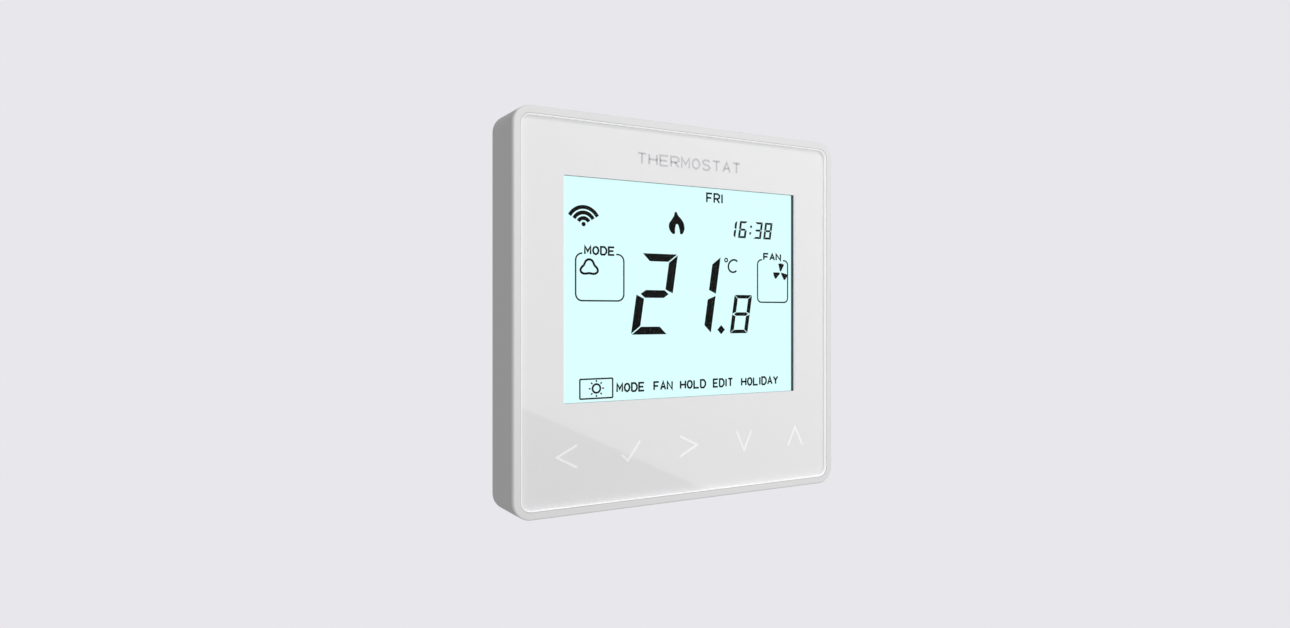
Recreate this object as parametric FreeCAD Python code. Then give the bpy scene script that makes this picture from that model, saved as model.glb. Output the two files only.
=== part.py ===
import FreeCAD, Part
import os

# A square room thermostat with a weekly programme, in millimetres.
# X runs to the right as its user faces it, Y into the wall and Z up. The origin is on the wall
# surface at the middle of the thermostat, so the front half lies at negative Y, and the rear box,
# which sinks into a wall box, at positive Y.

# ---------------------------------------------------------------- driving dimensions
# Overall size
width = 86.0
height = 86.0
depth = 13.0  # from the wall to the front of the rim
corner_radius = 4.0
inner_corner_radius = 0.5  # the least radius of a corner that follows the outline

# Front case and front bezel
wall_gap = 0.4  # the case stops this far short of the wall
case_wall = 2.0
case_lip = 1.0  # thinner front end of the case wall, round the bezel
case_edge_radius = 0.5
bezel_fit = 0.1
rim_width = 1.6
rim_thickness = 0.8
rim_edge_radius = 0.35
deck_thickness = 1.0
snap_width = 6.0
snap_thickness = 1.0
snap_length = 2.2
snap_bump = 0.5
snap_bump_length = 0.8
snap_height = 22.0  # of each snap above and below the middle
snap_clearance = 0.1

# Glossy panel
lens_recess = 0.05
lens_thickness = 0.8
lens_seam = 0.15
lens_chamfer = 0.1
print_thickness = 0.1
tape_thickness = 0.2
tape_inset = 0.6
window_top_margin = 13.75  # from the top of the thermostat
window_key_gap = 1.95  # between the display glass and the openings for the touch pads
window_boss_gap = 0.7  # between the display glass and the screw bosses beside it

# Display
gasket_thickness = 1.0
gasket_wall = 1.55
gasket_setback = 0.05  # of the gasket's bore behind the printed edge
gasket_fit = 0.1
polariser_thickness = 0.2
glass_thickness = 0.7
glass_margin = 3.0  # of the rear glass round the window
glass_ledge = 3.0  # of the front glass past the rear one, above and below
reflector_thickness = 0.2
guide_thickness = 2.0
guide_inset = 1.0
strip_thickness = 1.6
strip_gap = 0.6
strip_inset = 4.0
led_size = 2.0
led_height = 1.4
led_gap = 0.1
led_pitch = 14.0
led_count = 3

# Touch keys
key_count = 5
key_side_margin = 11.8  # of the outer keys' middles from the left and right edges
key_rise = 12.5  # of the key row above the lower edge
pad_radius = 2.9
pad_clearance = 0.3

# Control board and what it carries
board_thickness = 1.2
board_side_gap = 1.6
board_top_gap = 2.0
board_bottom_gap = 4.8
board_notch_width = 11.0
board_notch_height = 2.4
boss_radius = 2.0
boss_inset = 2.4
processor_size = 12.0
processor_height = 1.4
processor_place = (-14.0, 12.0)
radio_width = 18.0
radio_length = 13.0
radio_board_thickness = 0.8
radio_can_height = 1.0
radio_can_inset = 1.0
radio_aerial = 4.0
radio_place = (22.0, 26.0)
chip_height = 1.0
chips = (((0.0, -24.0), (6.0, 5.0)), ((-28.0, 26.0), (5.0, 4.0)), ((16.0, 4.0), (5.0, 6.4)))
cell_radius = 6.25
cell_height = 1.6
cell_place = (-27.0, -20.0)
cell_clip_width = 4.0
cell_clip_thickness = 0.2
sensor_radius = 1.1
sensor_wire_radius = 0.25
sensor_wire_pitch = 1.0
sensor_drop = 2.0  # of the bead below the board's lower edge
sensor_wire_overlap = 2.4
sensor_x = 24.0

# Plug and socket between the two halves
pin_count = 8
pin_pitch = 2.54
pin_size = 0.64
pin_engaged = 3.4
header_height = 2.0
header_depth = 2.5
plug_row = -13.0  # height of the row of pins
socket_front = -2.8
socket_length = 8.5
socket_depth = 2.8
socket_end = 0.6
socket_pin_clearance = 0.25
socket_tail_size = 0.5
socket_contact_gap = 0.4
socket_window_clearance = 0.2

# Screws: the shank's radius, the head's radius and the head's height
self_tapper = (0.8, 1.6, 1.0)
captive_screw = (1.2, 2.1, 1.2)
screw_hole_clearance = 0.1
pilot_clearance = 0.05
driver_slot_width = 0.5
driver_slot_depth = 0.5
board_screw_length = 4.2
box_screw_length = 6.0
power_screw_length = 4.2

# Captive retaining screw in the lower edge
retaining_depth = 3.6  # of its axis in front of the wall
retaining_travel = 2.3
retaining_sunk = 0.2  # of its head inside the lower face, when backed off
retaining_floor = 0.8
retaining_bore_clearance = 0.2
retaining_boss_wall = 1.0
retaining_tip_gap = 0.1
washer_thickness = 0.4
washer_clearance = 0.05
thread_clearance = 0.05

# Back plate
plate_depth = 3.0
plate_wall = 1.6
plate_gap = 0.4
plate_top_gap = 1.6
plate_rim = 2.0
hook_pitch = 44.0
hook_width = 8.0
hook_neck = 0.8
hook_radius = 0.9
hook_clearance = 0.1
hook_rise = 0.2  # of the hinge axis above the inner face of the case's top wall
hook_side_gap = 0.3
hinge_depth = 2.6  # of the hinge axis in front of the wall
lug_width = 8.0
lug_height = 3.0
lug_front = 5.4
lug_gap = 0.5
lug_side_gap = 0.8
wall_screw_spacing = 60.3
wall_slot_radius = 2.0
wall_slot_length = 7.0
wall_head_radius = 3.5
wall_head_depth = 1.4
wall_pad_wall = 0.9

# Vent slots
vent_width = 1.4
vent_pitch = 3.0
vent_top_count = 7
vent_bottom_count = 6
vent_bottom_start = 11.0
vent_front = 9.4
vent_back = 3.4

# Rear box
box_wall = 1.6
box_height_wanted = 56.0
box_depth = 18.0
box_side_gap = 1.6
box_corner_radius = 2.0
box_seat_gap = 0.05
ear_spacing = 28.0
ear_radius = 2.6
ear_offset = 1.6
ear_rim_gap = 0.2  # the least gap between an ear and the back plate's rim
ear_back = 4.2
wire_slot_front = 7.6
wire_slot_back = 12.2
post_radius = 2.2

# Power board and what it carries
power_board_front = 13.0
power_board_thickness = 1.6
power_board_gap = 0.4
power_screw_inset = 2.6
power_screw_low = -12.6
component_margin = 1.6  # of the board beyond its components, left and right
component_gap = 1.2
relay_count = 4
relay_width = 5.0
relay_length = 20.0
relay_height = 12.5
relay_gap = 1.0
relay_low = 1.0
module_width = 13.0
module_length = 20.0
module_height = 11.0
module_low = 0.6
fuse_radius = 4.2
fuse_height = 8.0
fuse_row = -5.4
surge_radius = 3.6
surge_thickness = 3.2
surge_stand = 2.0
surge_row = -5.4
film_width = 11.0
film_thickness = 5.0
film_height = 10.5
film_row = -6.6
smoothing_radius = 4.0
smoothing_height = 11.5
smoothing_row = -6.0
component_edge_radius = 0.6
wire_radius = 0.3

# Terminal block
way_count = 8
way_pitch = 5.08
way_wall = 1.08  # between two ways
way_end = 0.5
terminal_front = 1.0
terminal_low = -25.4
terminal_high = -15.8
terminal_wall = 1.0
terminal_back_wall = 0.8
terminal_screw_row = -20.2
terminal_screw_radius = 1.2
terminal_head_height = 1.4
terminal_head_sunk = 0.5
terminal_shelf = 0.7
cage_travel = 2.4
cage_clearance = 0.1
cage_sheet = 0.6
cage_floor = 0.8
cage_thread_wall = 1.2
cage_length = 5.0
tongue_thickness = 0.8
tongue_clearance = 0.2
tongue_leg_width = 1.2
tongue_leg_thickness = 0.6
tongue_tip_gap = 0.2
tongue_solder = 0.4
wire_gap = 3.2  # between tongue and cage floor, with the clamp open

# ---------------------------------------------------------------- places that follow from them
bottom = -height / 2
top = height / 2

# Depths, from the front inwards
rim_front = -depth
rim_back = rim_front + rim_thickness
lens_front = rim_front + lens_recess
lens_back = lens_front + lens_thickness
print_back = lens_back + print_thickness
deck_front = print_back + tape_thickness
deck_back = deck_front + deck_thickness
gasket_back = print_back + gasket_thickness
polariser_back = gasket_back + polariser_thickness
front_glass_back = polariser_back + glass_thickness
rear_glass_back = front_glass_back + glass_thickness
reflector_back = rear_glass_back + reflector_thickness
board_front = reflector_back + guide_thickness
board_back = board_front + board_thickness
case_back = -wall_gap
plate_front = -plate_depth
plate_back = plate_front + plate_wall
power_board_back = power_board_front + power_board_thickness
box_floor = box_depth - box_wall

# Heights and half widths
key_row = bottom + key_rise
key_pitch = (width - 2 * key_side_margin) / (key_count - 1)
board_half_width = width / 2 - case_wall - board_side_gap
board_top = top - case_wall - board_top_gap
board_bottom = bottom + case_wall + board_bottom_gap
hinge_height = top - case_wall + hook_rise
plate_bottom = bottom + case_wall + plate_gap
plate_top = top - case_wall - plate_top_gap

# Window, between the screw bosses and above the touch pads
window_low = key_row + pad_radius + pad_clearance + window_key_gap + glass_margin + glass_ledge
window_high = top - window_top_margin
window_centre = (window_low + window_high) / 2
window_height = window_high - window_low
window_width = 2 * (board_half_width - boss_inset - boss_radius - window_boss_gap - glass_margin)

# Retaining screw, drawn backed off
retaining_head_low = bottom + retaining_sunk
retaining_head_high = retaining_head_low + captive_screw[2]
retaining_seat = retaining_head_high + washer_thickness + retaining_travel
retaining_boss_top = retaining_seat + retaining_floor
retaining_tip = retaining_boss_top - retaining_tip_gap
lug_bottom = retaining_boss_top + lug_gap

# Terminals
terminal_half_width = way_count * way_pitch / 2 + way_end
way_half = (way_pitch - way_wall) / 2
cage_half = way_half - cage_clearance
terminal_head_front = terminal_front + terminal_head_sunk
terminal_head_back = terminal_head_front + terminal_head_height
terminal_shelf_back = terminal_head_back + terminal_shelf
cage_front = terminal_shelf_back + cage_clearance + cage_travel
cage_thread_back = cage_front + cage_thread_wall
tongue_front = cage_thread_back + tongue_clearance
tongue_back = tongue_front + tongue_thickness
cage_back = tongue_back + wire_gap + cage_floor

# Rear box, wide enough for the terminals and for both rows of components
relay_pitch = relay_width + relay_gap
relay_bank = (relay_count - 1) * relay_pitch + relay_width
upper_row = relay_bank + component_gap + module_width
fuse_x = component_gap + fuse_radius
surge_x = fuse_x + fuse_radius + component_gap + surge_radius
film_x = surge_x + surge_radius + component_gap + film_width / 2
smoothing_x = film_x + film_width / 2 + component_gap + smoothing_radius
lower_row = smoothing_x + smoothing_radius
component_half_width = max(upper_row, lower_row) / 2 + component_margin
box_inner_half = max(terminal_half_width + box_side_gap, component_half_width + power_board_gap)
box_half = box_inner_half + box_wall
ear_reach = ear_offset + ear_radius + ear_rim_gap
box_height = min(box_height_wanted, 2 * (plate_top - plate_rim - ear_reach))
power_board_half_width = box_inner_half - power_board_gap
power_board_left = -power_board_half_width
power_board_half_height = box_height / 2 - box_wall - power_board_gap


# ---------------------------------------------------------------- simple solids
def vector(x, y, z):
    return FreeCAD.Vector(x, y, z)


def span(middle, size):
    """The low and high ends of a size centred on a place."""
    return (middle - size / 2, middle + size / 2)


def block(x, y, z):
    """A box between the low and high ends given on each axis."""
    return Part.makeBox(x[1] - x[0], y[1] - y[0], z[1] - z[0], vector(x[0], y[0], z[0]))


def edges_along_depth(solid):
    return [edge for edge in solid.Edges if abs(edge.tangentAt(edge.FirstParameter).y) > 0.99]


def edges_at_depth(solid, y):
    return [edge for edge in solid.Edges if abs(edge.BoundBox.YMin - y) + abs(edge.BoundBox.YMax - y) < 1e-6]


def rounded_block(x, y, z, radius):
    """A box with its four edges along Y rounded."""
    solid = block(x, y, z)
    return solid.makeFillet(radius, edges_along_depth(solid))


def outline(inset, y):
    """The thermostat's rounded square, drawn in by inset, between two depths."""
    radius = max(corner_radius - inset, inner_corner_radius)
    return rounded_block(span(0, width - 2 * inset), y, span(0, height - 2 * inset), radius)


def peg(radius, x, y, z):
    """A cylinder along Y."""
    return Part.makeCylinder(radius, y[1] - y[0], vector(x, y[0], z), vector(0, 1, 0))


def post(radius, x, y, z):
    """A cylinder along Z."""
    return Part.makeCylinder(radius, z[1] - z[0], vector(x, y, z[0]), vector(0, 0, 1))


def bar(radius, x, y, z):
    """A cylinder along X."""
    return Part.makeCylinder(radius, x[1] - x[0], vector(x[0], y, z), vector(1, 0, 0))


def cross_slot(length, x, y, z):
    """A round-cornered hole along Y, longer in X: a slot with half-round ends."""
    radius = (z[1] - z[0]) / 2
    middle = (z[0] + z[1]) / 2
    reach = length / 2 - radius
    return block(span(x, 2 * reach), y, z).multiFuse(
        [peg(radius, x - reach, y, middle), peg(radius, x + reach, y, middle)]
    )


def window_frame(margin, y):
    """A box round the window, larger than it by margin on each side."""
    return block(
        span(0, window_width + 2 * margin), y, span(window_centre, window_height + 2 * margin)
    )


def round_front(solid, y, radius):
    return solid.makeFillet(radius, edges_at_depth(solid, y))


def group(solids):
    """Like pieces that share one node, each still its own solid."""
    return Part.makeCompound(solids)


def driver_cross(size, x, y, z):
    """The two crossed slots in a screw head whose face is at the low end of y."""
    across = block(span(x, size), y, span(z, driver_slot_width))
    return across.fuse(block(span(x, driver_slot_width), y, span(z, size)))


# ---------------------------------------------------------------- places of what repeats
def key_places():
    first = -(key_count - 1) * key_pitch / 2
    return [first + index * key_pitch for index in range(key_count)]


def board_screw_places():
    x = board_half_width - boss_inset
    return [(side * x, z) for side in (-1, 1) for z in (board_bottom + boss_inset, board_top - boss_inset)]


def box_screw_places():
    z = box_height / 2 + ear_offset
    return [(side * ear_spacing / 2, end * z) for side in (-1, 1) for end in (-1, 1)]


def power_screw_places():
    x = power_board_half_width - power_screw_inset
    upper = power_board_half_height - power_screw_inset
    return [(side * x, z) for side in (-1, 1) for z in (power_screw_low, upper)]


def pin_places():
    first = -(pin_count - 1) * pin_pitch / 2
    return [first + index * pin_pitch for index in range(pin_count)]


def way_places():
    first = -(way_count - 1) * way_pitch / 2
    return [first + index * way_pitch for index in range(way_count)]


# ---------------------------------------------------------------- front half: bezel and panel
def front_bezel():
    """White frame: a thin rim in front, and a deck behind the panel that carries the display."""
    rim = round_front(outline(0, (rim_front, rim_back)), rim_front, rim_edge_radius)
    body = rim.fuse(outline(case_lip + bezel_fit, (rim_back, deck_back)))
    body = body.cut([outline(rim_width, (rim_front - 1, deck_front))] + panel_openings(deck_front, deck_back))
    body = body.multiFuse([board_boss(x, z) for x, z in board_screw_places()] + snap_tabs())
    pilot_front = board_back - board_screw_length - pilot_clearance
    radius = self_tapper[0] + pilot_clearance
    return body.cut([peg(radius, x, (pilot_front, board_front), z) for x, z in board_screw_places()])


def panel_openings(front, back):
    """Cuts through the layers behind the panel, for the gasket and the touch pads."""
    through = (front - 1, back + 1)
    gasket_opening = window_frame(gasket_setback + gasket_wall + gasket_fit, through)
    return [gasket_opening] + [peg(pad_radius + pad_clearance, x, through, key_row) for x in key_places()]


def board_boss(x, z):
    return peg(boss_radius, x, (deck_back, board_front), z)


def snap_tabs():
    """Tongues on the deck's left and right edges, each with a ridge that snaps into the case wall."""
    tabs = []
    outer = width / 2 - case_wall - snap_clearance
    tip = deck_back + snap_length
    for side in (-1, 1):
        for z in (-snap_height, snap_height):
            x = sorted((side * (outer - snap_thickness), side * outer))
            ridge = sorted((side * (outer - snap_thickness), side * (outer + snap_bump)))
            tabs.append(block(x, (deck_back, tip), span(z, snap_width)))
            tabs.append(block(ridge, (tip - snap_bump_length, tip), span(z, snap_width)))
    return tabs


def snap_pockets():
    """Pockets in the case's side walls that hold the ridges of the snap tabs."""
    pockets = []
    inner = width / 2 - case_wall
    tip = deck_back + snap_length
    depth_span = (tip - snap_bump_length - snap_clearance, tip + snap_clearance)
    for side in (-1, 1):
        for z in (-snap_height, snap_height):
            x = sorted((side * (inner - 1), side * (inner + snap_bump)))
            pockets.append(block(x, depth_span, span(z, snap_width + 2 * snap_clearance)))
    return pockets


def front_lens():
    """Clear acrylic panel that fills the rim, with a fine seam round it."""
    panel = outline(rim_width + lens_seam, (lens_front, lens_back))
    return panel.makeChamfer(lens_chamfer, edges_at_depth(panel, lens_front))


def lens_print():
    """White ink on the back of the panel, left clear over the display."""
    ink = outline(rim_width + lens_seam, (lens_back, print_back))
    return ink.cut(window_frame(0, (lens_back - 1, print_back + 1)))


def lens_tape():
    """Adhesive sheet between the ink and the deck, open at the display and the touch pads."""
    tape = outline(rim_width + tape_inset, (print_back, deck_front))
    return tape.cut(panel_openings(print_back, deck_front))


# ---------------------------------------------------------------- front half: display
def display_gasket():
    """Black rubber frame that closes the gap between the panel and the display."""
    frame = window_frame(gasket_setback + gasket_wall, (print_back, gasket_back))
    return frame.cut(window_frame(gasket_setback, (print_back - 1, gasket_back + 1)))


def lcd_front_polariser():
    return window_frame(gasket_setback + gasket_wall, (gasket_back, polariser_back))


def lcd_front_glass():
    """Taller than the rear glass, to leave a contact ledge above and below it."""
    return block(
        span(0, window_width + 2 * glass_margin),
        (polariser_back, front_glass_back),
        span(window_centre, window_height + 2 * (glass_margin + glass_ledge)),
    )


def lcd_rear_glass():
    return window_frame(glass_margin, (front_glass_back, rear_glass_back))


def lcd_reflector():
    return window_frame(glass_margin - guide_inset, (rear_glass_back, reflector_back))


def light_guide():
    return window_frame(glass_margin - guide_inset, (reflector_back, board_front))


def backlight_leds():
    """Side-firing diodes along the right edge of the light guide."""
    start = window_width / 2 + glass_margin - guide_inset + led_gap
    first = window_centre - (led_count - 1) * led_pitch / 2
    leds = []
    for index in range(led_count):
        z = span(first + index * led_pitch, led_size)
        leds.append(block((start, start + led_size), (board_front - led_height, board_front), z))
    return group(leds)


def contact_strips():
    """Striped rubber connectors from the front glass's two ledges to the control board."""
    inner = window_height / 2 + glass_margin + strip_gap
    strips = []
    for low, high in ((inner, inner + strip_thickness), (-inner - strip_thickness, -inner)):
        strips.append(
            block(
                span(0, window_width + 2 * glass_margin - 2 * strip_inset),
                (front_glass_back, board_front),
                (window_centre + low, window_centre + high),
            )
        )
    return group(strips)


# ---------------------------------------------------------------- front half: control board
def control_board():
    board = block(span(0, 2 * board_half_width), (board_front, board_back), (board_bottom, board_top))
    notch = (board_bottom - 1, board_bottom + board_notch_height)
    cuts = [block(span(0, board_notch_width), (board_front - 1, board_back + 1), notch)]
    hole = self_tapper[0] + screw_hole_clearance
    cuts += [peg(hole, x, (board_front - 1, board_back + 1), z) for x, z in board_screw_places()]
    return board.cut(cuts)


def touch_pads():
    """Plugs of conductive rubber that carry each key's touch from the panel to the board."""
    return group([peg(pad_radius, x, (print_back, board_front), key_row) for x in key_places()])


def on_board(place, size, thickness, low=0.0):
    """A flat component on the back of the control board."""
    start = board_back + low
    return block(span(place[0], size[0]), (start, start + thickness), span(place[1], size[1]))


def processor():
    return on_board(processor_place, (processor_size, processor_size), processor_height)


def board_chips():
    return group([on_board(place, size, chip_height) for place, size in chips])


def radio_module():
    """Small board with a shield can, and a bare end for its printed aerial."""
    carrier = on_board(radio_place, (radio_width, radio_length), radio_board_thickness)
    can_length = radio_length - radio_aerial - radio_can_inset
    can_place = (radio_place[0], radio_place[1] - (radio_aerial - radio_can_inset) / 2)
    can_size = (radio_width - 2 * radio_can_inset, can_length)
    return carrier.fuse(on_board(can_place, can_size, radio_can_height, radio_board_thickness))


def clock_battery():
    """Coin cell that keeps the clock running through a power cut."""
    x, z = cell_place
    return peg(cell_radius, x, (board_back, board_back + cell_height), z)


def battery_clip():
    """Spring strip over the coin cell, with a leg down to the board at each end."""
    x, z = cell_place
    over = (board_back + cell_height, board_back + cell_height + cell_clip_thickness)
    reach = cell_radius + cell_clip_thickness
    clip = block(span(x, 2 * reach), over, span(z, cell_clip_width))
    for side in (-1, 1):
        leg = sorted((x + side * cell_radius, x + side * reach))
        clip = clip.fuse(block(leg, (board_back, over[1]), span(z, cell_clip_width)))
    return clip


def room_sensor():
    """Thermistor bead that hangs by two wires in the air from the lower vents."""
    y = board_back + sensor_wire_radius
    bead_height = board_bottom - sensor_drop
    bead = Part.makeSphere(sensor_radius, vector(sensor_x, y, bead_height))
    wires = []
    for side in (-1, 1):
        x = sensor_x + side * sensor_wire_pitch / 2
        wires.append(post(sensor_wire_radius, x, y, (bead_height, board_bottom + sensor_wire_overlap)))
    return bead.multiFuse(wires)


def header_pin(x):
    tip = socket_front + pin_engaged
    return block(span(x, pin_size), (board_back, tip), span(plug_row, pin_size))


def header_pins():
    return group([header_pin(x) for x in pin_places()])


def pin_header():
    body = block(
        span(0, pin_count * pin_pitch), (board_back, board_back + header_height), span(plug_row, header_depth)
    )
    return body.cut([header_pin(x) for x in pin_places()])


def control_board_screws():
    """Four self-tapping screws through the board into the bezel's bosses."""
    shank, head, head_height = self_tapper
    screws = []
    for x, z in board_screw_places():
        screw = peg(shank, x, (board_back - board_screw_length, board_back), z)
        screw = screw.fuse(peg(head, x, (board_back, board_back + head_height), z))
        face = board_back + head_height
        screws.append(screw.cut(driver_cross(1.4 * head, x, (face - driver_slot_depth, face + 1), z)))
    return group(screws)


# ---------------------------------------------------------------- front half: grey case
def front_case():
    """Grey shell that makes the four sides, open at the wall."""
    shell = outline(0, (rim_back, case_back))
    shell = shell.makeFillet(case_edge_radius, edges_at_depth(shell, case_back))
    cavity = outline(case_wall, (deck_back - 1, case_back + 1))
    seat = outline(case_lip, (rim_back - 1, deck_back))
    shell = shell.cut([cavity, seat]).fuse(retaining_boss())
    return shell.cut(snap_pockets() + hook_pockets() + vent_slots() + retaining_bores())


def hook_places():
    return [-hook_pitch / 2, hook_pitch / 2]


def hook_pockets():
    """Round pockets in the top wall that turn on the back plate's hook beads."""
    radius = hook_radius + hook_clearance
    length = hook_width + 2 * hook_side_gap
    return [bar(radius, span(x, length), -hinge_depth, hinge_height) for x in hook_places()]


def vent_slot(x, z):
    """A slot through a top or bottom wall, rounded at both ends."""
    radius = vent_width / 2
    front = -vent_front + radius
    back = -vent_back - radius
    return block(span(x, vent_width), (front, back), z).multiFuse(
        [post(radius, x, front, z), post(radius, x, back, z)]
    )


def vent_slots():
    slots = []
    upper = (top - case_wall - 1, top + 1)
    lower = (bottom - 1, bottom + case_wall + 1)
    first = -(vent_top_count - 1) * vent_pitch / 2
    for index in range(vent_top_count):
        slots.append(vent_slot(first + index * vent_pitch, upper))
    for index in range(vent_bottom_count):
        x = vent_bottom_start + index * vent_pitch
        slots += [vent_slot(x, lower), vent_slot(-x, lower)]
    return slots


def retaining_boss():
    """Thickening of the bottom wall round the retaining screw."""
    reach = captive_screw[1] + retaining_bore_clearance + retaining_boss_wall
    y = (-retaining_depth - reach, case_back)
    return block(span(0, 2 * reach), y, (bottom + case_wall / 2, retaining_boss_top))


def retaining_bores():
    """Counterbore for the head and washer, then the clearance hole for the shank."""
    shank, head, _ = captive_screw
    wide = post(head + retaining_bore_clearance, 0, -retaining_depth, (bottom - 1, retaining_seat))
    hole = shank + screw_hole_clearance
    return [wide, post(hole, 0, -retaining_depth, (retaining_seat - 1, retaining_boss_top + 1))]


def retaining_washer():
    """Captive washer that rides in and out with the retaining screw."""
    shank, head, _ = captive_screw
    z = (retaining_head_high, retaining_head_high + washer_thickness)
    ring = post(head, 0, -retaining_depth, z)
    return ring.cut(post(shank + washer_clearance, 0, -retaining_depth, (z[0] - 1, z[1] + 1)))


def retaining_screw():
    """Captive machine screw, drawn backed off, clear of the back plate's lug."""
    shank, head, _ = captive_screw
    screw = post(head, 0, -retaining_depth, (retaining_head_low, retaining_head_high))
    screw = screw.fuse(post(shank, 0, -retaining_depth, (retaining_head_high, retaining_tip)))
    slot_z = (retaining_head_low - 1, retaining_head_low + driver_slot_depth)
    across = block(span(0, 1.4 * head), span(-retaining_depth, driver_slot_width), slot_z)
    along = block(span(0, driver_slot_width), span(-retaining_depth, 1.4 * head), slot_z)
    return screw.cut([across, along])


# ---------------------------------------------------------------- wall half: back plate
def back_plate():
    """Shallow tray that screws to the wall box, with hooks on top and a lug below."""
    x = span(0, width - 2 * (case_wall + plate_gap))
    z = (plate_bottom, plate_top)
    radius = max(corner_radius - case_wall - plate_gap, inner_corner_radius)
    plate = rounded_block(x, (plate_front, 0), z, radius)
    hollow_x = (x[0] + plate_rim, x[1] - plate_rim)
    hollow_z = (z[0] + plate_rim, z[1] - plate_rim)
    plate = plate.cut(block(hollow_x, (plate_back, 1), hollow_z))
    plate = plate.multiFuse(wall_pads() + hook_tongues() + [retaining_lug()])
    return plate.cut(wall_slots() + plate_windows() + box_screw_holes() + retaining_cuts())


def wall_places():
    return [-wall_screw_spacing / 2, wall_screw_spacing / 2]


def wall_pads():
    """Thick pads that carry the wall screws straight to the wall."""
    reach = wall_head_radius + wall_pad_wall
    length = wall_slot_length - 2 * wall_slot_radius + 2 * reach
    pads = [cross_slot(length, x, (plate_front, 0), (-reach, reach)) for x in wall_places()]
    keep_out = block(span(0, 2 * (box_half + box_seat_gap)), (plate_back, 1), span(0, box_height))
    return [pad.cut(keep_out) for pad in pads]


def wall_slots():
    """Slots for the wall screws, each with a recess for a pan head."""
    cuts = []
    through = (plate_front - 1, 1)
    recess = (plate_front - 1, plate_front + wall_head_depth)
    head_length = wall_slot_length - 2 * wall_slot_radius + 2 * wall_head_radius
    for x in wall_places():
        cuts.append(cross_slot(wall_slot_length, x, through, span(0, 2 * wall_slot_radius)))
        cuts.append(cross_slot(head_length, x, recess, span(0, 2 * wall_head_radius)))
    return cuts


def hook_tongues():
    """Two tongues that end in round beads, on which the front half hangs and swings."""
    tongues = []
    rise = (plate_top - plate_rim, hinge_height)
    for x in hook_places():
        across = span(x, hook_width)
        tongues.append(block(across, span(-hinge_depth, hook_neck), rise))
        tongues.append(bar(hook_radius, across, -hinge_depth, hinge_height))
    return tongues


def retaining_lug():
    """Block with the hole that the retaining screw turns into."""
    return block(span(0, lug_width), (-lug_front, 0), (lug_bottom, lug_bottom + lug_height))


def retaining_cuts():
    """Notch in the plate's lower edge for the case's boss, and the lug's screw hole."""
    notch = block(
        span(0, lug_width + 2 * lug_side_gap), (-lug_front - 1, 1), (plate_bottom - 1, lug_bottom)
    )
    radius = captive_screw[0] + thread_clearance
    hole = post(radius, 0, -retaining_depth, (lug_bottom - 1, lug_bottom + lug_height + 1))
    return [notch, hole]


def plate_windows():
    """Window to the terminal screws, and the window that the socket stands in."""
    screws = block(
        span(0, 2 * terminal_half_width),
        (plate_front - 1, plate_back + 1),
        (terminal_low + terminal_wall, terminal_high - terminal_back_wall),
    )
    socket = block(
        span(0, pin_count * pin_pitch + 2 * (socket_end + socket_window_clearance)),
        (plate_front - 1, plate_back + 1),
        span(plug_row, socket_depth + 2 * socket_window_clearance),
    )
    return [screws, socket]


def countersunk(clearance, x, z):
    """A countersunk head from the plate's face, larger all round by clearance."""
    shank, head, head_height = self_tapper
    return Part.makeCone(
        head + clearance, shank + clearance, head_height, vector(x, plate_front, z), vector(0, 1, 0)
    )


def box_screw_holes():
    holes = []
    for x, z in box_screw_places():
        holes.append(countersunk(screw_hole_clearance, x, z))
        holes.append(peg(self_tapper[0] + screw_hole_clearance, x, (plate_front, plate_back + 1), z))
    return holes


def rear_box_screws():
    """Four countersunk screws that hold the rear box to the back plate."""
    screws = []
    for x, z in box_screw_places():
        shank = peg(self_tapper[0], x, (plate_front, plate_front + box_screw_length), z)
        cross = driver_cross(self_tapper[1], x, (plate_front - 1, plate_front + driver_slot_depth), z)
        screws.append(countersunk(0, x, z).fuse(shank).cut(cross))
    return group(screws)


# ---------------------------------------------------------------- wall half: rear box
def rear_box():
    """Open-fronted box behind the plate that holds the power board and the wiring."""
    x = span(0, 2 * box_half)
    z = span(0, box_height)
    body = rounded_block(x, (plate_back, box_depth), z, box_corner_radius)
    inner_z = (z[0] + box_wall, z[1] - box_wall)
    body = body.cut(block(span(0, 2 * box_inner_half), (plate_back - 1, box_floor), inner_z))
    ears = [peg(ear_radius, a, (plate_back, ear_back), b) for a, b in box_screw_places()]
    for ear in ears:
        body = body.fuse(ear.cut(block(span(0, 2 * box_inner_half), (plate_back - 1, box_floor), inner_z)))
    posts = [peg(post_radius, a, (power_board_back, box_floor), b) for a, b in power_screw_places()]
    body = body.multiFuse(posts)
    cuts = [wire_slot()]
    pilot = self_tapper[0] + pilot_clearance
    ear_pilot = (plate_back - 1, plate_front + box_screw_length + pilot_clearance)
    cuts += [peg(pilot, a, ear_pilot, b) for a, b in box_screw_places()]
    post_pilot = (power_board_back - 1, power_board_front + power_screw_length + pilot_clearance)
    cuts += [peg(pilot, a, post_pilot, b) for a, b in power_screw_places()]
    return body.cut(cuts)


def wire_slot():
    """Slot in the box's lower wall, in line with the terminals' wire entries."""
    low = -box_height / 2
    y = (wire_slot_front, wire_slot_back)
    return block(span(0, 2 * terminal_half_width), y, (low - 1, low + box_wall + 1))


# ---------------------------------------------------------------- wall half: power board
def power_board():
    z = (-power_board_half_height, power_board_half_height)
    board = block(span(0, 2 * power_board_half_width), (power_board_front, power_board_back), z)
    through = (power_board_front - 1, power_board_back + 1)
    cuts = [peg(self_tapper[0] + screw_hole_clearance, x, through, b) for x, b in power_screw_places()]
    cuts += [tongue_leg(x) for x in way_places()]
    cuts += [socket_tail(x) for x in pin_places()]
    return board.cut(cuts)


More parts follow.
